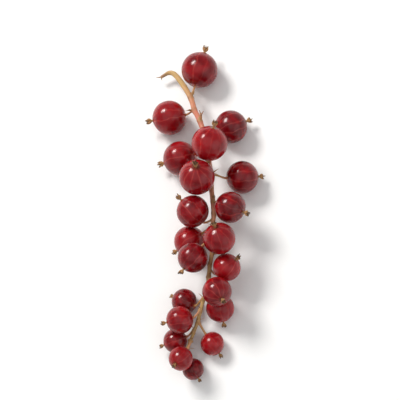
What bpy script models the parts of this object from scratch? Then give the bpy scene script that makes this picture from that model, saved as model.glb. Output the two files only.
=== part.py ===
"""A sprig of redcurrants, picked with its stalk and laid on a table.

Metres, +Z up. The stalk's torn heel is at -X and the tip of the sprig at +X. The origin is the
centre of the underside of the sprig's box, so the table is the plane z = 0.

The sprig is one grown stem, its berries, and the withered flower on the far end of each berry.
Berries hang from the stem on pedicels of their own length. They are let down on the table
together, so that each lies where its pedicel and its neighbours leave room for it.
"""

import math

import bmesh
import bpy
import numpy as np
from mathutils import Matrix, Vector

MM = 0.001

# The stem's centreline goes through these points, from the torn heel to the tip, in millimetres.
STEM_POINTS_MM = [
    (-47.4, -13.9, 3.1),
    (-48.3, -11.6, 3.5),
    (-46.9, -9.2, 4.2),
    (-41.0, -5.6, 5.7),
    (-29.0, -0.6, 8.0),
    (-14.0, 2.7, 9.0),
    (4.0, 3.7, 8.8),
    (21.0, 1.9, 7.6),
    (35.0, -2.3, 5.8),
    (43.4, -6.2, 4.4),
]
BOX_MIDDLE_MM = (-2.40, 0.17, 0.0)  # of the settled sprig, on the axes of these points
STALK_LENGTH = 16.5 * MM  # the bare stretch before the first pedicel
FIRST_SPACING = 4.9 * MM  # between the first two nodes, and between the last two
LAST_SPACING = 2.9 * MM
HEEL_RADIUS = 0.5 * MM  # where the stalk tore off
HEEL_TAPER = 3.0 * MM  # how far from the heel the stalk reaches its full thickness
STALK_RADIUS = 0.85 * MM
TIP_RADIUS = 0.42 * MM
NODE_SWELLING = 0.28 * MM
NODE_SWELLING_WIDTH = 0.9 * MM

# Each node's pedicel: its roll about the stem (0 is towards +Y, 90 is up), its angle from the
# direction of the tip, and whether it carries a berry. Near the stalk they are bent back.
NODES = [
    (20, 138, True),
    (186, 106, True),
    (58, 116, False),
    (354, 100, True),
    (192, 92, True),
    (98, 84, True),
    (4, 82, True),
    (190, 80, True),
    (66, 76, True),
    (348, 76, True),
    (188, 74, True),
    (122, 70, True),
    (4, 70, True),
    (190, 70, True),
    (62, 66, True),
    (352, 66, True),
    (188, 62, True),
    (112, 58, True),
    (10, 54, True),
    (196, 48, True),
    (72, 40, True),
    (340, 32, True),
]
PEDICEL_RADIUS = 0.34 * MM
FIRST_PEDICEL = 4.9 * MM
LAST_PEDICEL = 3.7 * MM
BARE_PEDICEL = 2.7 * MM  # the one whose berry has gone, up to the fork of its torn end
PRONG = 1.3 * MM
BARK_SCRAP = 2.1 * MM  # the shreds of bark that came away with the heel
PEDICEL_SHARES = (1.0, 0.86, 1.12, 0.94)  # the lengths differ in turn by these factors
MOST_BEND = math.radians(40)  # of a pedicel, between its chord and either end
LIFT = 0.35  # how far the table and the neighbours turn the flowers up, as a slope
STEEPEST = -0.25  # the sine of the steepest angle at which a flower points down

FIRST_BERRY_RADIUS = 5.75 * MM
LAST_BERRY_RADIUS = 3.35 * MM
BERRY_SHARES = (1.0, 0.95, 1.03, 0.92, 0.99)
DIMPLE_SHARE = 0.055  # the depth of the pit at each end of a berry, as a share of its radius
CONTACT_FLAT = 0.22 * MM  # how far a berry gives where it rests on the table

FLOWER_LENGTH = 2.7 * MM  # the withered flower, on the largest berry
FLOWER_RADIUS = 0.8 * MM
FLOWER_LOBES = 5

CLEARANCE = 0.3 * MM  # between pieces that touch
FALL = 0.02 * MM  # how far the berries sink in each step as they settle
PEDICEL_PULL = 0.002  # the share of the way back to its natural place that a pedicel pulls a berry
SETTLING_STEPS = 2600

STEM_SIDES = 10
PEDICEL_SIDES = 8
BERRY_SEGMENTS = 16
BERRY_RINGS = 10

UP = np.array((0.0, 0.0, 1.0))


def clear_scene():
    for obj in list(bpy.data.objects):
        bpy.data.objects.remove(obj)


def make_material(name, colour, roughness):
    material = bpy.data.materials.new(name)
    material.use_nodes = True
    shader = material.node_tree.nodes["Principled BSDF"]
    shader.inputs["Base Color"].default_value = (*colour, 1.0)
    shader.inputs["Roughness"].default_value = roughness
    shader.inputs["Metallic"].default_value = 0.0
    return material


def unit(vectors):
    return vectors / np.linalg.norm(vectors, axis=-1, keepdims=True)


# The stem's centreline


def smooth_line(points, per_span=40):
    """A smooth line through the points (Catmull-Rom), as closely spaced points."""
    ends = [2 * points[0] - points[1], *points, 2 * points[-1] - points[-2]]
    line = []
    for a, b, c, d in zip(ends, ends[1:], ends[2:], ends[3:]):
        for t in np.linspace(0, 1, per_span, endpoint=False):
            line.append(
                0.5 * (2 * b + (c - a) * t + (2 * a - 5 * b + 4 * c - d) * t**2
                       + (3 * b - a - 3 * c + d) * t**3)
            )
    return np.array([*line, points[-1]])


def distances_along(line):
    return np.concatenate([[0], np.cumsum(np.linalg.norm(np.diff(line, axis=0), axis=1))])


def point_at(line, distance):
    along = distances_along(line)
    return np.array([np.interp(distance, along, line[:, k]) for k in range(3)])


def direction_at(line, distance):
    step = 0.5 * MM
    return unit(point_at(line, distance + step) - point_at(line, distance - step))


def node_distances():
    """How far each node is from the heel. The nodes come closer together towards the tip."""
    gaps = np.linspace(FIRST_SPACING, LAST_SPACING, len(NODES) - 1)
    return STALK_LENGTH + np.concatenate([[0], np.cumsum(gaps)])


def stem_radius(distance, nodes, length):
    """The stem's radius, which tapers to the tip and to the torn heel and swells at each node."""
    taper = STALK_RADIUS + (TIP_RADIUS - STALK_RADIUS) * (distance / length) ** 1.6
    heel = (HEEL_RADIUS - STALK_RADIUS) * math.exp(-((distance / HEEL_TAPER) ** 2))
    nearest = min(abs(distance - node) for node in nodes)
    swelling = NODE_SWELLING * (taper / STALK_RADIUS)
    return taper + heel + swelling * math.exp(-((nearest / NODE_SWELLING_WIDTH) ** 2))


# The berries' places


def pedicel_direction(line, distance, roll, tilt):
    """Where a pedicel points where it leaves the stem."""
    forward = direction_at(line, distance)
    sideways = unit(np.cross(UP, forward))
    upwards = np.cross(forward, sideways)
    roll, tilt = math.radians(roll), math.radians(tilt)
    outwards = math.cos(roll) * sideways + math.sin(roll) * upwards
    return math.cos(tilt) * forward + math.sin(tilt) * outwards


def berry_axes(roots, starts, centres):
    """Each berry's axis, from its pedicel to its flower. The pedicel bends evenly, so it ends
    as far from its chord as it starts, on the other side, but for the lift."""
    chords = unit(centres - roots)
    along = (starts * chords).sum(axis=1, keepdims=True)
    across = starts - along * chords
    size = np.linalg.norm(across, axis=1, keepdims=True)
    bend = np.minimum(np.arctan2(size, along), MOST_BEND)
    axes = np.cos(bend) * chords - np.sin(bend) * across / np.maximum(size, 1e-9)
    axes = unit(axes + LIFT * UP)
    axes[:, 2] = np.maximum(axes[:, 2], STEEPEST)
    return unit(axes)


def nearest_on_segments(starts, ends, points):
    """The point of each segment that is nearest to each of the points."""
    spans = (ends - starts)[:, None, :]
    shares = ((points[None] - starts[:, None]) * spans).sum(-1) / (spans**2).sum(-1)
    return starts[:, None] + np.clip(shares, 0, 1)[..., None] * spans


def push_off(moved, points, distances):
    """How far each point must move from a fixed point to be at its distance from it."""
    away = moved - points
    size = np.linalg.norm(away, axis=-1)
    short = np.maximum(distances - size, 0)
    return away / np.maximum(size, 1e-9)[..., None] * short[..., None]


def settle(line, roots, starts, radii, lengths):
    """The berries' centres once they lie still: on the table or on each other, clear of the
    stem, of the pedicels and of the flowers, and no further off than the pedicels reach."""
    natural = roots + starts * (lengths + radii)[:, None]
    centres = natural.copy()
    others = 1.0 - np.eye(len(radii))
    apart = (radii[:, None] + radii[None] + CLEARANCE) * others
    off_pedicels = (radii[None] + 1.3 * PEDICEL_RADIUS + CLEARANCE) * others
    flowers = FLOWER_LENGTH * radii / FIRST_BERRY_RADIUS
    thickest = STALK_RADIUS + NODE_SWELLING
    off_flowers = (radii[None] + 0.6 * flowers[:, None] + CLEARANCE) * others
    for force in np.linspace(1, 0, SETTLING_STEPS):
        centres += force * PEDICEL_PULL * (natural - centres)
        centres[:, 2] -= force * FALL

        push = push_off(centres[:, None], centres[None], apart)
        centres += 0.5 * (push * others[..., None]).sum(axis=1)

        axes = berry_axes(roots, starts, centres)
        ends = centres - axes * radii[:, None]
        handles = lengths[:, None] / 3
        middles = 0.5 * (roots + ends) + 0.375 * handles * (starts - axes)
        for a, b in ((roots, middles), (middles, ends)):
            push = push_off(centres[None], nearest_on_segments(a, b, centres), off_pedicels)
            centres += 0.5 * (push * others[..., None]).sum(axis=0)

        middles = centres + axes * (radii + 0.5 * flowers)[:, None]
        push = push_off(centres[None], middles[:, None], off_flowers) * others[..., None]
        centres += 0.5 * push.sum(axis=0) - 0.5 * push.sum(axis=1)

        gaps = np.linalg.norm(centres[:, None] - line[None], axis=2)
        nearest = line[gaps.argmin(axis=1)]
        centres += push_off(centres, nearest, radii + thickest + 0.5 * CLEARANCE)

        chords = centres - axes * radii[:, None] - roots
        size = np.linalg.norm(chords, axis=1)
        kept = np.clip(size, 0.7 * lengths, lengths)
        centres += chords * (kept / size - 1)[:, None]
        centres[:, 2] = np.maximum(centres[:, 2], radii - CONTACT_FLAT)
    return centres


# The pieces


def tube_mesh(name, line, radii, sides):
    """A closed tube of changing radius, as a bevelled curve with filled caps."""
    curve = bpy.data.curves.new(name, "CURVE")
    curve.dimensions = "3D"
    curve.bevel_depth = 1.0
    curve.bevel_resolution = (sides - 4) // 2
    curve.use_fill_caps = True
    spline = curve.splines.new("POLY")
    spline.points.add(len(line) - 1)
    for point, place, radius in zip(spline.points, line, radii):
        point.co = (*place, 1.0)
        point.radius = radius
    helper = bpy.data.objects.new(name, curve)
    mesh = bpy.data.meshes.new_from_object(helper)
    bpy.data.objects.remove(helper)
    work = bmesh.new()
    work.from_mesh(mesh)
    bmesh.ops.remove_doubles(work, verts=work.verts, dist=1e-7)
    bmesh.ops.recalc_face_normals(work, faces=work.faces)
    work.to_mesh(mesh)
    work.free()
    return mesh


def bezier(a, b, c, d, count):
    t = np.linspace(0, 1, count)[:, None]
    return (1 - t) ** 3 * a + 3 * (1 - t) ** 2 * t * b + 3 * (1 - t) * t**2 * c + t**3 * d


def pedicel_line(root, start, end, axis, count=7):
    """The pedicel's centreline, from the middle of the stem to the pit in its berry."""
    handle = np.linalg.norm(end - root) / 3
    return bezier(root, root + start * handle, end - axis * handle, end, count)


def pedicel_radii(count):
    """A pedicel is thicker where it leaves the stem and where it meets the berry."""
    shares = np.linspace(0, 1, count)
    return PEDICEL_RADIUS * (1 + 0.6 * (1 - shares) ** 4 + 0.25 * shares**4)


def torn_end(tip, direction):
    """The two prongs at the torn end of a bare pedicel."""
    sideways = unit(np.cross(direction, UP))
    for side, depth in ((-0.7, 0.35), (0.55, 0.5)):
        foot = tip - depth * PRONG * direction
        yield np.linspace(foot, tip + PRONG * unit(direction + side * sideways), 5)


def bark_scraps(line):
    """The shreds of bark at the heel: a long one that goes on from it and a short one that
    turns aside."""
    heel, forward = line[0], unit(line[20] - line[0])
    sideways = unit(np.cross(forward, UP))
    for back, side, depth in ((0.9, -0.45, 0.4), (0.3, 0.6, 0.25)):
        middle = heel - 0.4 * BARK_SCRAP * forward + 0.1 * side * BARK_SCRAP * sideways
        end = heel + BARK_SCRAP * (side * sideways - back * forward)
        yield bezier(heel + depth * BARK_SCRAP * forward, heel, middle, end, 6)


def add_object(name, mesh, material):
    obj = bpy.data.objects.new(name, mesh)
    mesh.materials.append(material)
    bpy.context.scene.collection.objects.link(obj)
    return obj


def make_stem(line, nodes, branches, material):
    """The stem and its pedicels, which grew as one piece."""
    length = distances_along(line)[-1]
    along = np.linspace(0, length, round(length / (1.15 * MM)))
    centres = np.array([point_at(line, s) for s in along])
    radii = [stem_radius(s, nodes, length) for s in along]
    stem = add_object("stem", tube_mesh("stem", centres, radii, STEM_SIDES), material)
    for number, branch in enumerate(branches, 1):
        name = f"branch_{number:02d}"
        mesh = tube_mesh(name, *branch, PEDICEL_SIDES)
        helper = add_object(name, mesh, material)
        helper.hide_render = True
        helper.display_type = "WIRE"
        join = stem.modifiers.new(name, "BOOLEAN")
        join.operation = "UNION"
        join.solver = "EXACT"
        join.object = helper
    return stem


def placed(centre, axis):
    """The matrix that puts a piece's own origin at centre and its +Z along axis."""
    turn = Vector(axis).to_track_quat("Z", "Y").to_matrix().to_4x4()
    return Matrix.Translation(Vector(centre)) @ turn


def make_berry(name, centre, axis, radius, material):
    """A round berry with a pit at each end, flattened where it rests on the table."""
    work = bmesh.new()
    bmesh.ops.create_uvsphere(
        work, u_segments=BERRY_SEGMENTS, v_segments=BERRY_RINGS, radius=radius
    )
    for vertex in work.verts:
        if math.hypot(vertex.co.x, vertex.co.y) < 0.01 * radius:
            vertex.co.z *= 1 - DIMPLE_SHARE
    place = placed(centre, axis)
    table = place.inverted()
    cut = bmesh.ops.bisect_plane(
        work,
        geom=[*work.verts, *work.edges, *work.faces],
        dist=1e-7,
        plane_co=table @ Vector((centre[0], centre[1], 0)),
        plane_no=table.to_3x3() @ Vector((0, 0, -1)),
        clear_outer=True,
    )
    rim = [item for item in cut["geom_cut"] if isinstance(item, bmesh.types.BMEdge)]
    if rim:
        bmesh.ops.edgeloop_fill(work, edges=rim)
    bmesh.ops.recalc_face_normals(work, faces=work.faces)
    mesh = bpy.data.meshes.new(name)
    work.to_mesh(mesh)
    work.free()
    mesh.shade_smooth()
    berry = add_object(name, mesh, material)
    berry.matrix_world = place
    return berry


def make_flower(name, centre, axis, size, material):
    """The withered flower: a narrow cup that opens into five lobes and draws together again."""
    work = bmesh.new()
    rings = []
    profile = [(0.0, 0.62, 0.0), (0.3, 0.5, 0.06), (0.66, 0.82, 0.2), (1.0, 0.55, 0.5)]
    for height, width, star in profile:
        ring = []
        for k in range(2 * FLOWER_LOBES):
            angle = math.pi * k / FLOWER_LOBES
            radius = FLOWER_RADIUS * size * width * (1 + star * (-1) ** k)
            z = FLOWER_LENGTH * size * height
            ring.append(work.verts.new((radius * math.cos(angle), radius * math.sin(angle), z)))
        rings.append(ring)
    loops = [[work.edges.new((a, b)) for a, b in zip(r, [*r[1:], r[0]])] for r in rings]
    for lower, upper in zip(loops, loops[1:]):
        bmesh.ops.bridge_loops(work, edges=[*lower, *upper])
    work.faces.new(rings[0])
    tip = work.verts.new((0, 0, 0.9 * FLOWER_LENGTH * size))
    for a, b in zip(rings[-1], [*rings[-1][1:], rings[-1][0]]):
        work.faces.new((a, b, tip))
    bmesh.ops.recalc_face_normals(work, faces=work.faces)
    mesh = bpy.data.meshes.new(name)
    work.to_mesh(mesh)
    work.free()
    flower = add_object(name, mesh, material)
    flower.matrix_world = placed(centre, axis)
    return flower


def main():
    clear_scene()
    stem_green = make_material("stem_green", (0.46, 0.24, 0.09), 0.55)
    berry_red = make_material("berry_red", (0.30, 0.006, 0.012), 0.22)
    withered_brown = make_material("withered_brown", (0.19, 0.09, 0.04), 0.85)

    line = smooth_line((np.array(STEM_POINTS_MM) - BOX_MIDDLE_MM) * MM)
    nodes = node_distances()
    roots = np.array([point_at(line, s) for s in nodes])
    starts = np.array([
        pedicel_direction(line, s, roll, tilt) for s, (roll, tilt, _) in zip(nodes, NODES)
    ])
    shares = np.linspace(0, 1, len(NODES))
    radii = FIRST_BERRY_RADIUS + (LAST_BERRY_RADIUS - FIRST_BERRY_RADIUS) * shares**1.25
    radii *= np.resize(BERRY_SHARES, len(NODES))
    lengths = FIRST_PEDICEL + (LAST_PEDICEL - FIRST_PEDICEL) * shares
    lengths *= np.resize(PEDICEL_SHARES, len(NODES))
    full = np.array([has_berry for _, _, has_berry in NODES])
    thin = PEDICEL_RADIUS * np.linspace(0.85, 0.5, 6)
    branches = [(scrap, thin * share) for scrap, share in zip(bark_scraps(line), (1.0, 0.8))]
    for root, start in zip(roots[~full], starts[~full]):
        tip = root + start * BARE_PEDICEL
        bare = pedicel_line(root, start, tip, start)
        branches.append((bare, pedicel_radii(len(bare))))
        branches.extend((prong, thin[1:]) for prong in torn_end(tip, start))

    roots, starts, radii, lengths = roots[full], starts[full], radii[full], lengths[full]
    centres = settle(line, roots, starts, radii, lengths)
    axes = berry_axes(roots, starts, centres)
    pit = radii * (1 - DIMPLE_SHARE) + CLEARANCE
    ends = centres - axes * pit[:, None]
    for root, start, end, axis in zip(roots, starts, ends, axes):
        pedicel = pedicel_line(root, start, end, axis)
        branches.append((pedicel, pedicel_radii(len(pedicel))))
    make_stem(line, nodes, branches, stem_green)
    for k, (centre, axis, radius) in enumerate(zip(centres, axes, radii)):
        make_berry(f"berry_{k + 1:02d}", centre, axis, radius, berry_red)
        size = radius / FIRST_BERRY_RADIUS
        foot = centre + axis * pit[k]
        make_flower(f"dried_flower_{k + 1:02d}", foot, axis, size, withered_brown)


main()
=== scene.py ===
import math

import bmesh
import bpy
import numpy as np
from mathutils import Matrix, Vector, noise
from mathutils.kdtree import KDTree


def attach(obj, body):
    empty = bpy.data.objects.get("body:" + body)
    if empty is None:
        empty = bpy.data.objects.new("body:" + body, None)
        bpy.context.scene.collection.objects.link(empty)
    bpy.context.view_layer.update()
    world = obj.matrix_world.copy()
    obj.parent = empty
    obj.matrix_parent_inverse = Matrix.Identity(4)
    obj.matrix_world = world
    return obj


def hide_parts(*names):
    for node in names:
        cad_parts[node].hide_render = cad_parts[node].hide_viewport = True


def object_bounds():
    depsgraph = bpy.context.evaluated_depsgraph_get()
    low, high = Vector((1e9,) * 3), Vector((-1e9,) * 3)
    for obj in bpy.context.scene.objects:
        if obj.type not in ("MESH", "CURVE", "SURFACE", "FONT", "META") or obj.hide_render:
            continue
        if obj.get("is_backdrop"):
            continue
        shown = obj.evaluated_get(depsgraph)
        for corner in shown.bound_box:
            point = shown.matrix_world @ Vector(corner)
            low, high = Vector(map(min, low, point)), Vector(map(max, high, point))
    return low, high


# A sprig of redcurrants on a pale table, in metres, in the row frame: +X along the sprig from
# the torn heel of its stalk to its tip, +Z up, and the table at z = 0. The berries and their
# withered flowers take their places from the CAD solids. The stem follows the CAD stem's
# centreline, from the same points and angles, with a slight bend at each node.

MM = 0.001
UP = np.array((0.0, 0.0, 1.0))

# The stem, as in the CAD model
STEM_POINTS_MM = [
    (-47.4, -13.9, 3.1),
    (-48.3, -11.6, 3.5),
    (-46.9, -9.2, 4.2),
    (-41.0, -5.6, 5.7),
    (-29.0, -0.6, 8.0),
    (-14.0, 2.7, 9.0),
    (4.0, 3.7, 8.8),
    (21.0, 1.9, 7.6),
    (35.0, -2.3, 5.8),
    (43.4, -6.2, 4.4),
]
BOX_MIDDLE_MM = (-2.40, 0.17, 0.0)
STALK_LENGTH = 16.5 * MM  # the bare stretch before the first node
FIRST_SPACING = 4.9 * MM  # between the first two nodes, and between the last two
LAST_SPACING = 2.9 * MM
HEEL_RADIUS = 0.5 * MM  # where the stalk tore off
HEEL_TAPER = 3.0 * MM  # how far from the heel the stalk reaches its full thickness
STALK_RADIUS = 0.85 * MM
TIP_RADIUS = 0.42 * MM
NODE_SWELLING_WIDTH = 0.9 * MM
# Each node's pedicel: its roll about the stem, its angle from the direction of the tip, and
# whether it carries a berry
NODES = [
    (20, 138, True),
    (186, 106, True),
    (58, 116, False),
    (354, 100, True),
    (192, 92, True),
    (98, 84, True),
    (4, 82, True),
    (190, 80, True),
    (66, 76, True),
    (348, 76, True),
    (188, 74, True),
    (122, 70, True),
    (4, 70, True),
    (190, 70, True),
    (62, 66, True),
    (352, 66, True),
    (188, 62, True),
    (112, 58, True),
    (10, 54, True),
    (196, 48, True),
    (72, 40, True),
    (340, 32, True),
]
PEDICEL_RADIUS = 0.34 * MM
BARE_PEDICEL = 2.7 * MM  # the one whose berry has gone, up to the fork of its torn end
PRONG = 1.3 * MM
PRONGS = ((-0.7, 0.35), (0.55, 0.5))  # how far each leans aside, and its depth in the pedicel
BARK_SCRAP = 2.1 * MM
# Each shred of bark: how far it goes back and aside, its depth in the heel, and its thickness
BARK_SCRAPS = ((0.9, -0.45, 0.4, 1.0), (0.3, 0.6, 0.25, 0.8))
FIRST_BERRY_RADIUS = 5.75 * MM
DIMPLE_SHARE = 0.055  # the depth of the pit at each end of a berry, as a share of its radius
FLOWER_LENGTH = 2.7 * MM  # on the largest berry
FLOWER_LOBES = 5
GAP = 0.3 * MM  # between pieces that touch

# Finer detail, which only the visual model has
BERRY_GROWTH = 1.012  # closes most of the gap that the CAD leaves between berries
BERRY_SEGMENTS = 80
BERRY_RINGS = 48
BERRY_RIBS = 9
CONTACT_ROUNDING = 0.06 * MM  # of a berry's edge where it rests on the table
VEINS = 11.0
FLOWER_SEGMENTS = 50
FLOWER_RINGS = 16
FLOWER_CLOSED_RINGS = 6  # those of the neck, which has no inside
FLOWER_WALL = 0.11 * MM
STAMEN_RINGS = 7
STAMEN_SIDES = 6
STEM_STEP = 0.3 * MM
STEM_SIDES = 20
STEM_VOXEL = 0.13 * MM
STEM_RIDGES = 7
PEDICEL_RINGS = 26
BARE_PEDICEL_RINGS = 14
PRONG_RINGS = 8
BARK_RINGS = 16
FIBRE_RINGS = 6
BRANCH_SIDES = 12
NODE_SWELLING = 0.13 * MM  # the CAD's is larger, as it stands for the pedicels' wide feet too
FIRST_KINK = 0.34 * MM  # how far the stem is drawn towards the first node's pedicel
LAST_KINK = 0.06 * MM  # and towards the last one's
TORN_FIBRES = 7
BRACT = 1.5 * MM  # the length of the largest
BRACT_ROWS = 6
BRACT_COLUMNS = 5
BRACT_THICKNESS = 0.09 * MM
GOLDEN_TURN = 2.399963  # in radians; it and its share of a turn spread the berries' rolls and tones
GOLDEN_SHARE = 0.618034


# Small vector helpers


def unit(vectors):
    return vectors / np.linalg.norm(vectors, axis=-1, keepdims=True)


def across(forward):
    """Two unit vectors square to forward and to each other."""
    side = np.cross(UP, forward)
    if np.linalg.norm(side) < 1e-6:
        side = np.array((1.0, 0.0, 0.0))
    side = unit(side)
    return side, np.cross(forward, side)


def smooth_line(points, per_span=40):
    """A smooth line through the points (Catmull-Rom), as closely spaced points."""
    ends = [2 * points[0] - points[1], *points, 2 * points[-1] - points[-2]]
    line = []
    for a, b, c, d in zip(ends, ends[1:], ends[2:], ends[3:]):
        for t in np.linspace(0, 1, per_span, endpoint=False):
            line.append(
                0.5 * (2 * b + (c - a) * t + (2 * a - 5 * b + 4 * c - d) * t**2
                       + (3 * b - a - 3 * c + d) * t**3)
            )
    return np.array([*line, points[-1]])


def distances_along(line):
    return np.concatenate([[0], np.cumsum(np.linalg.norm(np.diff(line, axis=0), axis=1))])


def point_at(line, distance):
    along = distances_along(line)
    return np.array([np.interp(distance, along, line[:, k]) for k in range(3)])


def direction_at(line, distance):
    step = 0.5 * MM
    return unit(point_at(line, distance + step) - point_at(line, distance - step))


def bezier(a, b, c, d, count):
    t = np.linspace(0, 1, count)[:, None]
    return (1 - t) ** 3 * a + 3 * (1 - t) ** 2 * t * b + 3 * (1 - t) * t**2 * c + t**3 * d


def rough(point, scale, seed=0.0):
    """Smooth noise between about -1 and 1 at a point."""
    return noise.noise(Vector(point) / scale + Vector((seed * 7.3, seed * 3.1, seed * 5.7)))


# Meshes


def mesh_object(name, vertices, faces, material):
    mesh = bpy.data.meshes.new(name)
    mesh.from_pydata([tuple(v) for v in vertices], [], faces)
    mesh.materials.append(material)
    work = bmesh.new()
    work.from_mesh(mesh)
    bmesh.ops.recalc_face_normals(work, faces=work.faces)
    work.to_mesh(mesh)
    work.free()
    mesh.shade_smooth()
    obj = bpy.data.objects.new(name, mesh)
    bpy.context.scene.collection.objects.link(obj)
    return obj


def set_attribute(mesh, name, values, kind="FLOAT"):
    attribute = mesh.attributes.new(name, kind, "POINT")
    field = "value" if kind == "FLOAT" else "vector"
    attribute.data.foreach_set(field, np.asarray(values, np.float32).ravel())


def grid_faces(rows, columns, first=0):
    """Quads between rows of points that each close on themselves."""
    faces = []
    for i in range(rows - 1):
        for j in range(columns):
            k = (j + 1) % columns
            faces.append((
                first + i * columns + j, first + i * columns + k,
                first + (i + 1) * columns + k, first + (i + 1) * columns + j,
            ))
    return faces


def tube(line, radii, sides, vertices, faces):
    """Adds a closed tube to vertices and faces. The rings don't twist."""
    first = len(vertices)
    tangents = unit(np.gradient(line, axis=0))
    side, _ = across(tangents[0])
    for centre, tangent, radius in zip(line, tangents, radii):
        side = unit(side - tangent * (side @ tangent))
        other = np.cross(tangent, side)
        for j in range(sides):
            angle = 2 * math.pi * j / sides
            vertices.append(centre + radius * (math.cos(angle) * side + math.sin(angle) * other))
    faces.extend(grid_faces(len(line), sides, first))
    for row, centre in ((0, line[0]), (len(line) - 1, line[-1])):
        start = first + row * sides
        vertices.append(centre)
        hub = len(vertices) - 1
        faces.extend((start + j, start + (j + 1) % sides, hub) for j in range(sides))


# Materials


class Shader:
    """A material's node tree, with short ways to add nodes to it."""

    def __init__(self, name):
        self.material = bpy.data.materials.new(name)
        self.material.use_nodes = True
        self.nodes = self.material.node_tree.nodes
        self.links = self.material.node_tree.links
        self.main = self.nodes["Principled BSDF"]

    def put(self, socket, value):
        if isinstance(value, bpy.types.NodeSocket):
            self.links.new(value, socket)
        else:
            socket.default_value = value

    def node(self, kind, output=0, inputs=(), **settings):
        made = self.nodes.new(kind)
        for key, value in settings.items():
            setattr(made, key, value)
        for key, value in dict(inputs).items():
            self.put(made.inputs[key], value)
        return made.outputs[output]

    def math(self, operation, *values):
        return self.node("ShaderNodeMath", 0, enumerate(values), operation=operation)

    def product(self, a, b):
        return self.math("MULTIPLY", a, b)

    def sum(self, a, b):
        return self.math("ADD", a, b)

    def split(self, vector):
        made = self.nodes.new("ShaderNodeSeparateXYZ")
        self.links.new(vector, made.inputs[0])
        return made.outputs

    def step(self, value, low, high, out_low=0.0, out_high=1.0):
        inputs = {0: value, 1: low, 2: high, 3: out_low, 4: out_high}
        return self.node("ShaderNodeMapRange", 0, inputs, interpolation_type="SMOOTHSTEP")

    def attribute(self, name, output="Fac"):
        return self.node("ShaderNodeAttribute", output, attribute_name=name)

    def place(self):
        return self.node("ShaderNodeTexCoord", "Object")

    def noise(self, vector, scale, detail=2.0, roughness=0.5):
        inputs = {"Vector": vector, "Scale": scale, "Detail": detail, "Roughness": roughness}
        return self.node("ShaderNodeTexNoise", 0, inputs)

    def voronoi(self, vector, scale, randomness, feature):
        inputs = {"Vector": vector, "Scale": scale, "Randomness": randomness}
        return self.node("ShaderNodeTexVoronoi", "Distance", inputs, feature=feature)

    def mix(self, share, a, b):
        made = self.nodes.new("ShaderNodeMix")
        made.data_type = "RGBA"
        colour = [s for s in made.inputs if s.type == "RGBA"]
        self.put(made.inputs[0], share)
        self.put(colour[0], a if isinstance(a, bpy.types.NodeSocket) else (*a, 1.0))
        self.put(colour[1], b if isinstance(b, bpy.types.NodeSocket) else (*b, 1.0))
        return next(s for s in made.outputs if s.type == "RGBA")

    def bump(self, height, distance, strength):
        inputs = {"Height": height, "Distance": distance, "Strength": strength}
        self.links.new(self.node("ShaderNodeBump", 0, inputs), self.main.inputs["Normal"])

    def set(self, **values):
        """Sets the Principled BSDF's inputs, named with _ for each space."""
        for key, value in values.items():
            self.put(self.main.inputs[key.replace("_", " ")], value)


def vein_strength(s, x, y, seeded, tone):
    """The veins of a berry: meridians that wander a little, each with its own strength and thin
    everywhere, and a faint net between them."""
    ring = s.math("SQRT", s.sum(s.product(x, x), s.product(y, y)))
    wander = s.math("MULTIPLY_ADD", s.noise(seeded, 1.8, 1.0), 0.36, -0.18)
    turn = s.math("DIVIDE", s.math("ARCTAN2", y, x), 2 * math.pi)
    turn = s.sum(turn, s.product(wander, 0.16))
    lane = s.product(s.sum(turn, 1.0), VEINS)
    off = s.math("ABSOLUTE", s.math("SUBTRACT", s.math("FRACT", lane), 0.5))
    gap = s.product(s.product(off, ring), 2 * math.pi / VEINS)
    number = s.sum(s.math("FLOOR", lane), tone)
    own = s.node("ShaderNodeTexWhiteNoise", 0, {"W": number}, noise_dimensions="1D")
    core = s.step(gap, 0.004, 0.022, 1.0, 0.0)
    halo = s.step(gap, 0.01, 0.085, 1.0, 0.0)
    vein = s.sum(s.product(core, 0.6), s.product(halo, 0.4))
    vein = s.product(vein, s.math("MULTIPLY_ADD", own, 0.65, 0.35))
    net = s.voronoi(seeded, 3.4, 1.0, "DISTANCE_TO_EDGE")
    branch = s.product(s.step(net, 0.0, 0.03, 1.0, 0.0), 0.13)
    return s.math("MAXIMUM", vein, branch)


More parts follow.
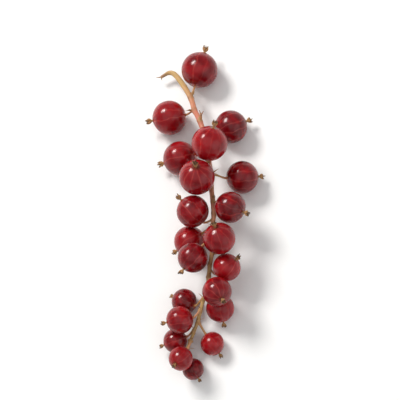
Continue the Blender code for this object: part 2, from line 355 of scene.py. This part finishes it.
def berry_material():
    """Thin glossy skin over translucent red pulp, with pale veins from end to end and seeds that
    show as dim darker patches."""
    bright, dark, clear = (0.27, 0.0035, 0.008), (0.115, 0.0012, 0.004), (0.36, 0.006, 0.010)
    seed, pale = (0.07, 0.001, 0.003), (0.80, 0.13, 0.10)
    stem_pit, flower_pit = (0.55, 0.13, 0.07), (0.14, 0.026, 0.014)

    s = Shader("redcurrant_skin")
    tone = s.attribute("tone")
    at = s.attribute("local", "Vector")
    x, y, z = s.split(at)
    shift = s.node("ShaderNodeCombineXYZ", 0, {0: tone, 1: tone, 2: tone})
    seeded = s.node("ShaderNodeVectorMath", 0, {0: at, 1: shift}, operation="ADD")
    veins = vein_strength(s, x, y, seeded, tone)
    seeds = s.step(s.voronoi(seeded, 1.7, 0.9, "SMOOTH_F1"), 0.12, 0.42, 1.0, 0.0)
    cloud = s.noise(seeded, 1.3, 2.0, 0.5)
    dull = s.noise(seeded, 5.0, 4.0, 0.6)
    pores = s.noise(seeded, 26.0, 2.0)

    flesh = s.mix(tone, bright, dark)
    flesh = s.mix(s.step(cloud, 0.4, 0.75, 0.0, 0.6), flesh, clear)
    flesh = s.mix(s.product(seeds, 0.35), flesh, seed)
    flesh = s.mix(s.product(veins, 0.25), flesh, pale)
    flesh = s.mix(s.step(z, -1.0, -0.955, 0.75, 0.0), flesh, stem_pit)
    flesh = s.mix(s.step(z, 0.955, 0.985, 0.0, 0.8), flesh, flower_pit)
    s.set(
        Base_Color=flesh,
        Roughness=s.step(dull, 0.3, 0.75, 0.15, 0.26),
        IOR=1.36,
        Subsurface_Weight=1.0,
        Subsurface_Radius=(5.5 * MM, 0.6 * MM, 0.5 * MM),
        Subsurface_Scale=1.0,
        Coat_Weight=0.12,
        Coat_Roughness=0.05,
    )
    s.bump(s.sum(s.product(veins, 0.5), s.product(pores, 0.35)), 0.03 * MM, 0.6)
    return s.material


def flower_material():
    """Papery brown, darker at the torn tips, with painted shade inside the cup and in the creases
    between its lobes.
    """
    foot, papery, torn = (0.13, 0.032, 0.018), (0.46, 0.235, 0.085), (0.11, 0.052, 0.026)
    streak, speck, crease_shade = (0.16, 0.072, 0.032), (0.66, 0.44, 0.22), (0.045, 0.018, 0.010)

    s = Shader("withered_flower")
    height = s.attribute("height")
    fold_shade = s.attribute("fold_shade")
    spots = s.noise(s.place(), 2600.0, 4.0, 0.65)
    streaks = s.noise(s.attribute("grain", "Vector"), 6.0, 3.0, 0.6)
    colour = s.mix(s.step(height, 0.0, 0.35), foot, papery)
    colour = s.mix(s.step(height, 0.62, 1.0), colour, torn)
    colour = s.mix(s.product(s.step(streaks, 0.4, 0.7), 0.6), colour, streak)
    colour = s.mix(s.product(s.step(spots, 0.5, 0.75), 0.5), colour, speck)
    # Painted shade: darker inside the cup, in the creases between the lobes and a little on the stamens
    colour = s.mix(s.product(fold_shade, 0.6), colour, crease_shade)
    s.set(
        Base_Color=colour,
        Roughness=s.step(spots, 0.3, 0.8, 0.92, 0.68),
        Subsurface_Weight=0.05,
        Subsurface_Radius=(0.5 * MM, 0.3 * MM, 0.1 * MM),
    )
    s.bump(s.sum(streaks, s.product(spots, 0.5)), 0.06 * MM, 0.9)
    return s.material


def stem_material():
    """A dull green stalk that turns pink beyond the first nodes and greenish brown towards the
    tip, brown at its nodes and its torn ends, with streaks along the grain."""
    stalk, flush, tip = (0.47, 0.290, 0.102), (0.54, 0.160, 0.106), (0.40, 0.245, 0.085)
    green_pedicel, pink_pedicel = (0.48, 0.28, 0.095), (0.58, 0.190, 0.115)
    berry_end, green_patch, pale_streak = (0.46, 0.100, 0.050), (0.42, 0.31, 0.095), (0.64, 0.37, 0.21)
    node_brown, dark_scar, pale_scar = (0.27, 0.130, 0.050), (0.15, 0.068, 0.03), (0.45, 0.26, 0.12)

    s = Shader("redcurrant_stem")
    along = s.attribute("along")
    out = s.attribute("out")
    patches = s.noise(s.place(), 240.0, 3.0, 0.55)
    streaks = s.noise(s.attribute("grain", "Vector"), 5.0, 4.0, 0.6)
    fine = s.noise(s.place(), 3200.0, 3.0, 0.6)
    colour = s.mix(s.step(along, 0.09, 0.24), stalk, flush)
    colour = s.mix(s.step(along, 0.45, 0.85), colour, tip)
    pedicel = s.mix(s.step(patches, 0.4, 0.65), green_pedicel, pink_pedicel)
    colour = s.mix(s.step(out, 0.0, 0.3, 0.0, 0.85), colour, pedicel)
    colour = s.mix(s.step(out, 0.75, 1.0, 0.0, 0.6), colour, berry_end)
    colour = s.mix(s.product(s.step(patches, 0.35, 0.7), 0.25), colour, green_patch)
    colour = s.mix(s.step(streaks, 0.42, 0.72, 0.0, 0.4), colour, pale_streak)
    colour = s.mix(s.product(s.attribute("node"), 0.5), colour, node_brown)
    colour = s.mix(s.attribute("scar"), colour, s.mix(fine, dark_scar, pale_scar))
    s.set(
        Base_Color=colour,
        Roughness=s.step(streaks, 0.3, 0.8, 0.62, 0.46),
        Subsurface_Weight=0.18,
        Subsurface_Radius=(0.9 * MM, 0.5 * MM, 0.2 * MM),
        Subsurface_Scale=1.0,
    )
    s.bump(s.sum(s.product(streaks, 0.8), s.product(fine, 0.4)), 0.05 * MM, 0.8)
    return s.material


def table_material():
    """Almost even matt white."""
    s = Shader("pale_table")
    uneven = s.noise(s.place(), 9.0, 4.0)
    s.set(Base_Color=s.mix(uneven, (0.86, 0.86, 0.855), (0.885, 0.885, 0.88)), Roughness=0.7)
    return s.material


# Berries


def node_vertices(name):
    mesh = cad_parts[name].data
    points = np.empty(3 * len(mesh.vertices))
    mesh.vertices.foreach_get("co", points)
    return points.reshape(-1, 3)


def berry_place(number):
    """A CAD berry's centre and radius, from the sphere through its vertices, and its axis, which
    goes from its pedicel through its centre to the middle of its flower."""
    points = node_vertices(f"berry_{number:02d}")
    points = points[points[:, 2] > 0.05 * MM]  # without the flat that it rests on
    sides = np.hstack([2 * points, np.ones((len(points), 1))])
    fit = np.linalg.lstsq(sides, (points**2).sum(axis=1), rcond=None)[0]
    centre = fit[:3]
    radius = math.sqrt(fit[3] + centre @ centre)
    flower = np.unique(node_vertices(f"dried_flower_{number:02d}").round(7), axis=0)
    return centre, radius, unit(flower.mean(axis=0) - centre)


def placed(centre, axis, roll):
    """The matrix that puts a piece's own origin at centre and its +Z along axis."""
    turn = Vector(axis).to_track_quat("Z", "Y").to_matrix().to_4x4()
    return Matrix.Translation(Vector(centre)) @ turn @ Matrix.Rotation(roll, 4, "Z")


def bell(value, middle, width):
    """1 at the middle, falling off smoothly to 0."""
    return math.exp(-(((value - middle) / width) ** 2))


def berry_radius(direction, seed):
    """How far the skin is from the middle, as a share of the berry's radius."""
    x, y, z = direction
    flat = 1 - 0.022 * z * z
    lumps = 0.011 * rough(direction, 0.9, seed) + 0.004 * rough(direction, 0.35, seed + 4)
    polar = math.acos(max(-1.0, min(1.0, z)))
    stem_pit = DIMPLE_SHARE * 0.9 * bell(polar, math.pi, 0.17)
    flower_pit = DIMPLE_SHARE * 0.7 * bell(polar, 0.0, 0.12)
    flower_rim = 0.010 * bell(polar, 0.27, 0.09)
    ribs = 0.0022 * math.cos(BERRY_RIBS * math.atan2(y, x) + seed) * math.sin(polar) ** 2
    return flat + lumps + flower_rim + ribs - stem_pit - flower_pit


def berry_directions():
    """Unit vectors from a berry's middle, in rings from its pedicel to its flower that are
    closer together at the two ends."""
    directions = [Vector((0, 0, -1))]
    for i in range(1, BERRY_RINGS):
        share = i / BERRY_RINGS
        polar = math.pi * (share - 0.055 * math.sin(2 * math.pi * share))
        ring = math.sin(polar)
        for j in range(BERRY_SEGMENTS):
            angle = 2 * math.pi * j / BERRY_SEGMENTS
            directions.append(Vector((ring * math.cos(angle), ring * math.sin(angle), -math.cos(polar))))
    return [*directions, Vector((0, 0, 1))]


def berry_faces():
    faces = grid_faces(BERRY_RINGS - 1, BERRY_SEGMENTS, 1)
    last = 1 + (BERRY_RINGS - 1) * BERRY_SEGMENTS
    start = last - BERRY_SEGMENTS
    for j in range(BERRY_SEGMENTS):
        k = (j + 1) % BERRY_SEGMENTS
        faces.append((0, 1 + k, 1 + j))
        faces.append((last, start + j, start + k))
    return faces


def above_table(height):
    """The height of a point of a berry's skin once the table has flattened it."""
    if height > 40 * CONTACT_ROUNDING:
        return height
    return CONTACT_ROUNDING * math.log1p(math.exp(height / CONTACT_ROUNDING))


def make_berry(number, material):
    centre, radius, axis = berry_place(number)
    roll = (number * GOLDEN_TURN) % (2 * math.pi)
    place = placed(centre, axis, roll)
    directions = berry_directions()
    vertices = []
    for direction in directions:
        reach = radius * BERRY_GROWTH * berry_radius(direction, number * 1.7)
        vertex = place @ (direction * reach)
        vertex.z = above_table(vertex.z)
        vertices.append(vertex)
    berry = mesh_object(f"redcurrant_{number:02d}", vertices, berry_faces(), material)
    set_attribute(berry.data, "local", directions, "FLOAT_VECTOR")
    set_attribute(berry.data, "tone", np.full(len(vertices), (number * GOLDEN_SHARE) % 1.0))
    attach(berry, "root")
    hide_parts(f"berry_{number:02d}")
    return centre, radius, axis, roll


# The withered flower on each berry


def cup_skin(number, size, length, base, rng):
    """A function for the skin of a flower: a neck that opens into a crumpled cup of five lobes,
    each with its own curl and reach. It gives the point at a share of the flower's length and an
    angle about its axis, and goes inwards by the inset."""
    curl = rng.uniform(0.15, 1.1, FLOWER_LOBES)
    reach = rng.uniform(0.68, 1.0, FLOWER_LOBES)
    twist = rng.uniform(-0.9, 0.9)
    root = -0.45 * MM

    def skin(share, angle, inset):
        lobe = int(angle / (2 * math.pi) * FLOWER_LOBES + 0.5) % FLOWER_LOBES
        petal = 0.5 + 0.5 * math.cos(FLOWER_LOBES * angle)
        opened = max(0.0, (share - 0.34) / 0.66)
        edge = 1 - (0.30 + 0.12 * rough((angle * 2, number, 0), 1.0)) * (1 - petal) * opened
        z = root + (length + GAP - root) * share * edge * (1 - (1 - reach[lobe]) * petal * opened)
        neck = 0.56 - 0.22 * bell(share, 0.3, 0.13)
        spread = 0.62 * math.sin(min(opened * 2.1, math.pi / 2))
        flare = petal**0.7 * (spread - curl[lobe] * 0.5 * opened**2.2)
        width = (neck + flare - 0.16 * (1 - petal) * opened) * MM * size
        wrinkles = rough((4 * math.cos(angle), 4 * math.sin(angle), 5 * share), 1.0, number)
        crumple = 0.10 * MM * size * opened * wrinkles
        width = max(width + crumple - inset, 0.03 * MM)
        turned = angle + twist * share + 0.16 * opened * rough((angle * 3, share * 4, number), 1.0)
        return width * math.cos(turned), width * math.sin(turned), base + z

    return skin


def add_stamens(vertices, faces, size, length, base, rng):
    """The dry stamens of a flower, and the style in their midst."""
    for k in range(FLOWER_LOBES + 1):
        angle = 2 * math.pi * (k + rng.uniform(-0.3, 0.3)) / FLOWER_LOBES
        spread = (0.16 if k < FLOWER_LOBES else 0.0) * MM * size
        out = np.array((math.cos(angle), math.sin(angle), 0.0))
        foot = out * spread + UP * (base + 0.34 * length)
        tip = out * spread * rng.uniform(0.6, 2.6) + UP * (base + length * rng.uniform(0.86, 1.12))
        bend = 0.5 * (foot + tip) + 0.14 * MM * size * np.array((*rng.uniform(-1, 1, 2), 0.0))
        path = bezier(foot, bend, bend, tip, STAMEN_RINGS)
        radii = np.linspace(0.075, 0.055, STAMEN_RINGS) * MM * size
        tube(path, radii, STAMEN_SIDES, vertices, faces)


def make_flower(number, centre, radius, axis, roll, material):
    """The withered flower, as a thin closed skin with an outside and an inside."""
    size = radius / FIRST_BERRY_RADIUS
    length = FLOWER_LENGTH * size
    base = radius * (1 - DIMPLE_SHARE)
    rng = np.random.default_rng(100 + number)
    skin = cup_skin(number, size, length, base, rng)

    vertices, height, fold_shade = [], [], []
    outside = [(i / (FLOWER_RINGS - 1), 0.0) for i in range(FLOWER_RINGS)]
    inside = [(share, FLOWER_WALL * size) for share, _ in reversed(outside[FLOWER_CLOSED_RINGS:])]
    rows = outside + inside
    for share, inset in rows:
        for j in range(FLOWER_SEGMENTS):
            angle = 2 * math.pi * j / FLOWER_SEGMENTS
            between = 0.5 - 0.5 * math.cos(FLOWER_LOBES * angle)
            vertices.append(skin(share * (1 - 0.02 * (inset > 0)), angle, inset))
            height.append(share)
            # Painted shade: full on the inside of the cup, and growing between the lobes towards the rim
            # on the outside
            fold_shade.append(1.0 if inset else 0.5 * between * share)
    faces = grid_faces(len(rows), FLOWER_SEGMENTS)
    for row in (0, len(rows) - 1):
        start = row * FLOWER_SEGMENTS
        middle = np.mean([vertices[start + j] for j in range(FLOWER_SEGMENTS)], axis=0)
        vertices.append(tuple(middle))
        height.append(rows[row][0])
        fold_shade.append(1.0)
        hub = len(vertices) - 1
        faces += [(start + j, start + (j + 1) % FLOWER_SEGMENTS, hub) for j in range(FLOWER_SEGMENTS)]
    add_stamens(vertices, faces, size, length, base, rng)
    height += [0.75] * (len(vertices) - len(height))
    # A little painted shade on the stamens
    fold_shade += [0.35] * (len(vertices) - len(fold_shade))

    place = placed(centre, axis, roll)
    world = [place @ Vector(v) for v in vertices]
    flower = mesh_object(f"withered_flower_{number:02d}", world, faces, material)
    grain = [(x / MM, y / MM, 0.25 * z / MM) for x, y, z in vertices]
    set_attribute(flower.data, "height", height)
    # The painted shade of the cup's inside and its creases
    set_attribute(flower.data, "fold_shade", fold_shade)
    set_attribute(flower.data, "grain", grain, "FLOAT_VECTOR")
    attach(flower, "root")
    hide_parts(f"dried_flower_{number:02d}")


# The stem


def stem_radius(distance, nodes, length):
    """The stem's radius, which tapers to the tip and to the torn heel and swells at each node."""
    taper = STALK_RADIUS + (TIP_RADIUS - STALK_RADIUS) * (distance / length) ** 1.6
    heel = (HEEL_RADIUS - STALK_RADIUS) * bell(distance, 0.0, HEEL_TAPER)
    nearest = min(abs(distance - node) for node in nodes)
    swelling = NODE_SWELLING * (taper / STALK_RADIUS)
    return taper + heel + swelling * bell(nearest, 0.0, NODE_SWELLING_WIDTH)


def pedicel_direction(line, distance, roll, tilt):
    """Where a pedicel points where it leaves the stem."""
    forward = direction_at(line, distance)
    sideways = unit(np.cross(UP, forward))
    upwards = np.cross(forward, sideways)
    roll, tilt = math.radians(roll), math.radians(tilt)
    outwards = math.cos(roll) * sideways + math.sin(roll) * upwards
    return math.cos(tilt) * forward + math.sin(tilt) * outwards


def kinked(line, nodes):
    """The line drawn a little towards the pedicel at each node, as a stem grows in short bends."""
    along = distances_along(line)
    kinks = np.linspace(FIRST_KINK, LAST_KINK, len(nodes))
    straight = (0, 0, 0)
    shifts = [straight, straight]
    for distance, (roll, _, _), kink in zip(nodes, NODES, kinks):
        shifts.append(kink * pedicel_direction(line, distance, roll, 90))
    shifts = np.array([*shifts, straight])
    stops = [0, 0.6 * nodes[0], *nodes, along[-1]]
    return line + np.column_stack([np.interp(along, stops, shifts[:, k]) for k in range(3)])


def stem_line():
    """The stem's centreline and how far along it each node is."""
    line = smooth_line((np.array(STEM_POINTS_MM) - BOX_MIDDLE_MM) * MM)
    gaps = np.linspace(FIRST_SPACING, LAST_SPACING, len(NODES) - 1)
    nodes = STALK_LENGTH + np.concatenate([[0], np.cumsum(gaps)])
    return kinked(line, nodes), nodes


def pedicel_radii(count):
    """Wide at the foot, thin in the middle, with a collar where it meets the berry."""
    share = np.linspace(0, 1, count)
    collar = 0.3 * np.exp(-(((share - 0.97) / 0.07) ** 2))
    joint = 0.12 * np.exp(-(((share - 0.72) / 0.03) ** 2))
    return PEDICEL_RADIUS * (0.90 + 1.9 * (1 - share) ** 6 + 0.1 * share**4 + collar + joint)


# Everything that leaves the stem is a branch: its centreline, its radii, how far along the stem
# it starts, and whether it is torn.


def berry_pedicel(root, start, distance, berry):
    """A pedicel that goes into the pit at the end of its berry."""
    centre, radius, axis = berry
    end = centre - axis * (radius * (1 - DIMPLE_SHARE) - 0.06 * MM)
    handle = np.linalg.norm(end - root) / 3
    path = bezier(root, root + start * handle, end - axis * handle, end, PEDICEL_RINGS)
    return path, pedicel_radii(PEDICEL_RINGS), distance, False


def bare_pedicel(root, start, distance):
    """A pedicel that has lost its berry, and the two prongs at its torn end."""
    tip = root + start * BARE_PEDICEL
    handles = root + start * BARE_PEDICEL / 3, root + start * BARE_PEDICEL / 1.5
    path = bezier(root, *handles, tip, BARE_PEDICEL_RINGS)
    yield path, PEDICEL_RADIUS * np.linspace(2.0, 0.9, BARE_PEDICEL_RINGS), distance, False
    sideways = unit(np.cross(start, UP))
    for side, depth in PRONGS:
        foot = tip - depth * PRONG * start
        path = np.linspace(foot, tip + PRONG * unit(start + side * sideways), PRONG_RINGS)
        yield path, PEDICEL_RADIUS * np.linspace(0.8, 0.45, PRONG_RINGS), distance, True


def heel_scraps(line):
    """The shreds of bark and the torn fibres round the stalk's heel."""
    heel, forward = line[0], unit(line[20] - line[0])
    sideways = unit(np.cross(forward, UP))
    for back, side, depth, share in BARK_SCRAPS:
        middle = heel - 0.4 * BARK_SCRAP * forward + 0.1 * side * BARK_SCRAP * sideways
        end = heel + BARK_SCRAP * (side * sideways - back * forward)
        path = bezier(heel + depth * BARK_SCRAP * forward, heel, middle, end, BARK_RINGS)
        yield path, PEDICEL_RADIUS * share * np.linspace(0.9, 0.42, BARK_RINGS), 0.0, True
    rng = np.random.default_rng(5)
    side, other = across(forward)
    for _ in range(TORN_FIBRES):
        angle = rng.uniform(0, 2 * math.pi)
        out = math.cos(angle) * side + math.sin(angle) * other
        foot = heel + out * 0.6 * HEEL_RADIUS + 0.4 * MM * forward
        end = heel + out * HEEL_RADIUS * rng.uniform(0.5, 1.3) - forward * rng.uniform(0.2, 0.9) * MM
        radii = np.linspace(0.22, 0.12, FIBRE_RINGS) * MM
        yield np.linspace(foot, end, FIBRE_RINGS), radii, 0.0, True


def stem_branches(line, nodes, berries):
    branches = []
    berries = iter(berries)
    for distance, (roll, tilt, has_berry) in zip(nodes, NODES):
        root = point_at(line, distance)
        start = pedicel_direction(line, distance, roll, tilt)
        if has_berry:
            branches.append(berry_pedicel(root, start, distance, next(berries)))
        else:
            branches.extend(bare_pedicel(root, start, distance))
    return [*branches, *heel_scraps(line)]


def remeshed(vertices, faces, material):
    """The pieces of the stem joined into one skin."""
    pieces = mesh_object("redcurrant_stem", vertices, faces, material)
    remesh = pieces.modifiers.new("join", "REMESH")
    remesh.mode = "VOXEL"
    remesh.voxel_size = STEM_VOXEL
    smooth = pieces.modifiers.new("smooth", "SMOOTH")
    smooth.factor = 0.5
    smooth.iterations = 4
    graph = bpy.context.evaluated_depsgraph_get()
    mesh = bpy.data.meshes.new_from_object(pieces.evaluated_get(graph))
    bpy.data.objects.remove(pieces)
    return mesh


def line_samples(centres, along, branches):
    """Points of all the centrelines, each with how far along the stem it is, how far out on a
    branch, whether that is torn, and the direction of its line."""
    tangents = unit(np.gradient(centres, axis=0))
    samples = [(p, distance, 0.0, False, t) for p, distance, t in zip(centres, along, tangents)]
    for path, _, distance, torn in branches:
        tangents = unit(np.gradient(path, axis=0))
        outs = 0.02 + 0.98 * np.linspace(0, 1, len(path))
        samples += [(p, distance, out, torn, t) for p, out, t in zip(path, outs, tangents)]
    return samples


def skin_relief(place, angle, distance, out, torn):
    """How far the skin stands out in millimetres: ridges along the stem, and fine unevenness."""
    if out == 0.0:
        ridges = 0.045 * math.cos(STEM_RIDGES * angle + 90.0 * distance + 2.0 * rough(place, 9 * MM))
        return ridges + 0.05 * rough(place, 1.3 * MM) + 0.02 * rough(place, 0.5 * MM, 3)
    ridges = 0.0 if torn else 0.022 * math.cos(4 * angle)
    return ridges + 0.022 * rough(place, 0.8 * MM, 1)


def detail_skin(mesh, samples, nodes, length):
    """Gives each point of the skin its relief and what the material needs to know about it, from
    the nearest point of the centrelines."""
    tree = KDTree(len(samples))
    for k, sample in enumerate(samples):
        tree.insert(Vector(sample[0]), k)
    tree.balance()
    values = {"along": [], "out": [], "scar": [], "node": []}
    grain, moved = [], []
    for vertex in mesh.vertices:
        place = np.array(vertex.co)
        centre, distance, out, torn, tangent = samples[tree.find(vertex.co)[1]]
        side, other = across(tangent)
        offset = place - centre
        angle = math.atan2(offset @ other, offset @ side)
        nearest = min(abs(distance - node) for node in nodes)
        moved.append(vertex.co + vertex.normal * skin_relief(place, angle, distance, out, torn) * MM)
        heel = bell(distance, 0.0, 0.7 * HEEL_TAPER) if out == 0.0 else 0.0
        values["along"].append(distance / length)
        values["out"].append(out)
        values["scar"].append(1.0 if torn else heel)
        values["node"].append(bell(nearest, 0.0, 0.7 * MM) * (1 - out))
        grain.append((math.cos(angle), math.sin(angle), distance / (6 * MM) + out))
    for vertex, place in zip(mesh.vertices, moved):
        vertex.co = place
    for name, numbers in values.items():
        set_attribute(mesh, name, numbers)
    set_attribute(mesh, "grain", grain, "FLOAT_VECTOR")
    mesh.shade_smooth()


def add_bract(vertices, faces, foot, forward, outwards, size, rng):
    """A small dry scale under a pedicel, as a thin closed leaf that cups it."""
    first = len(vertices)
    rows, columns = BRACT_ROWS, BRACT_COLUMNS
    sideways = unit(np.cross(forward, outwards))
    for lift in (0.0, BRACT_THICKNESS):
        for i in range(rows):
            t = i / (rows - 1)
            half = 0.42 * size * (math.sin(math.pi * min(t + 0.22, 1.0) ** 0.8) + 0.06)
            curl = outwards * size * (0.10 + 0.55 * t * t) + forward * size * (t * 0.95 - 0.15)
            for j in range(columns):
                u = 2 * j / (columns - 1) - 1
                cup = outwards * 0.22 * size * u * u
                jitter = 0.04 * size * rng.uniform(-1, 1, 3) * t
                vertices.append(foot + curl + cup + sideways * half * u + outwards * lift + jitter)
    area = rows * columns
    for i in range(rows - 1):
        for j in range(columns - 1):
            a = first + i * columns + j
            quad = (a, a + 1, a + columns + 1, a + columns)
            faces.append(quad)
            faces.append(tuple(area + v for v in reversed(quad)))
    rim = [first + j for j in range(columns)]
    rim += [first + i * columns + columns - 1 for i in range(1, rows)]
    rim += [first + (rows - 1) * columns + j for j in range(columns - 2, -1, -1)]
    rim += [first + i * columns for i in range(rows - 2, 0, -1)]
    faces.extend((b, a, a + area, b + area) for a, b in zip(rim, [*rim[1:], rim[0]]))


def make_bracts(line, nodes, length, material):
    vertices, faces = [], []
    rng = np.random.default_rng(11)
    for distance, (roll, tilt, _) in zip(nodes, NODES):
        forward = direction_at(line, distance)
        start = pedicel_direction(line, distance, roll, tilt)
        outwards = unit(start - forward * (start @ forward))
        size = BRACT * (0.75 + 0.35 * rng.random()) * (1 - 0.35 * distance / length)
        rise = outwards * stem_radius(distance, nodes, length) * 0.72
        foot = point_at(line, distance) + rise - forward * 0.75 * MM
        lean = unit(outwards * 0.8 - forward * 0.55)
        add_bract(vertices, faces, foot, lean, outwards, size, rng)
    bracts = mesh_object("bracts", vertices, faces, material)
    for name, value in (("along", 0.5), ("out", 0.5), ("scar", 0.75), ("node", 0.0)):
        set_attribute(bracts.data, name, np.full(len(vertices), value))
    set_attribute(bracts.data, "grain", np.array(vertices) / MM, "FLOAT_VECTOR")
    return bracts


def make_stem(berries, material):
    """The stem with its pedicels and bracts, which grew as one piece."""
    line, nodes = stem_line()
    length = distances_along(line)[-1]
    along = np.linspace(0, length, round(length / STEM_STEP))
    centres = np.array([point_at(line, distance) for distance in along])
    radii = [stem_radius(distance, nodes, length) for distance in along]
    branches = stem_branches(line, nodes, berries)
    vertices, faces = [], []
    tube(centres, radii, STEM_SIDES, vertices, faces)
    for path, path_radii, _, _ in branches:
        tube(path, path_radii, BRANCH_SIDES, vertices, faces)
    mesh = remeshed(vertices, faces, material)
    detail_skin(mesh, line_samples(centres, along, branches), nodes, length)
    stem = bpy.data.objects.new("redcurrant_stem", mesh)
    bpy.context.scene.collection.objects.link(stem)
    bracts = make_bracts(line, nodes, length, material)
    with bpy.context.temp_override(active_object=stem, selected_editable_objects=[stem, bracts]):
        bpy.ops.object.join()
    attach(stem, "root")
    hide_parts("stem")


# The studio


def make_table():
    """A round table top that sweeps up towards its rim, so that low views have no hard horizon."""
    flat, sweep, sides = 0.42, 1.2, 96
    turns = np.linspace(0, math.pi / 2, 24)
    profile = [(r, 0.0) for r in (0.05, 0.25)]
    profile += [(flat + sweep * math.sin(t), sweep * (1 - math.cos(t))) for t in turns]
    angles = np.linspace(0, 2 * math.pi, sides, endpoint=False)
    vertices = [(r * math.cos(a), r * math.sin(a), z) for r, z in profile for a in angles]
    faces = grid_faces(len(profile), sides)
    faces.append(tuple(range(sides)))
    mesh_object("table", vertices, faces, table_material())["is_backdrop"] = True


def add_lamp(name, place, size, power, colour=(1.0, 1.0, 1.0)):
    """An elliptical lamp that points at the middle of the table."""
    data = bpy.data.lights.new(name, "AREA")
    data.shape = "ELLIPSE"
    data.size, data.size_y = size
    data.energy = power
    data.color = colour
    lamp = bpy.data.objects.new(name, data)
    lamp.location = place
    lamp.rotation_mode = "QUATERNION"
    lamp.rotation_quaternion = (-Vector(place)).to_track_quat("-Z", "Y")
    bpy.context.scene.collection.objects.link(lamp)


def make_light():
    """A soft key light from the upper left of the picture, a wide dim fill from the lower right,
    and a wide dim light from above."""
    add_lamp("key", (-0.42, -0.36, 0.62), (0.36, 0.26), 6.0, (1.0, 0.985, 0.96))
    add_lamp("fill", (0.30, 0.62, 0.42), (0.90, 0.70), 1.3, (0.96, 0.98, 1.0))
    add_lamp("top", (0.10, -0.05, 0.95), (1.20, 1.20), 1.9)
    world = bpy.data.worlds.new("studio")
    world.use_nodes = True
    background = world.node_tree.nodes["Background"]
    background.inputs["Color"].default_value = (1.0, 1.0, 1.0, 1.0)
    background.inputs["Strength"].default_value = 0.38
    bpy.context.scene.world = world
    bpy.context.scene.view_settings.view_transform = "Standard"


def make_camera():
    """Looks steeply down, with the stalk at the top of the picture and a little of the sprig's
    right-hand side showing."""
    low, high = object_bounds()
    target = (low + high) / 2
    elevation, heading = math.radians(70), math.radians(33)
    distance = 0.283
    back = Vector((
        math.cos(elevation) * math.cos(heading),
        math.cos(elevation) * math.sin(heading),
        math.sin(elevation),
    ))
    up = Vector((-1, 0, 0))
    up = (up - back * up.dot(back)).normalized()
    right = up.cross(back)
    data = bpy.data.cameras.new("camera")
    data.lens = 85
    data.sensor_width = 36
    camera = bpy.data.objects.new("camera", data)
    camera.matrix_world = Matrix((
        (right.x, up.x, back.x, 0),
        (right.y, up.y, back.y, 0),
        (right.z, up.z, back.z, 0),
        (0, 0, 0, 1),
    ))
    camera.location = target + back * distance
    bpy.context.scene.collection.objects.link(camera)
    bpy.context.scene.camera = camera


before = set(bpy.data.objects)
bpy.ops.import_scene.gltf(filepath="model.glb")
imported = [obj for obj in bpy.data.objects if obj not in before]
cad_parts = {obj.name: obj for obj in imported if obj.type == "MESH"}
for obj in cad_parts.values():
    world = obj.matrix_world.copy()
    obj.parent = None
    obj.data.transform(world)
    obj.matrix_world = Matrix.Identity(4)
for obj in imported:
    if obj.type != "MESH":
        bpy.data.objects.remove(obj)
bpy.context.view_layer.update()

berry_skin = berry_material()
flower_skin = flower_material()
places = []
for number in range(1, sum(has_berry for _, _, has_berry in NODES) + 1):
    centre, radius, axis, roll = make_berry(number, berry_skin)
    make_flower(number, centre, radius, axis, roll, flower_skin)
    places.append((centre, radius, axis))
make_stem(places, stem_material())
make_table()
make_light()
make_camera()
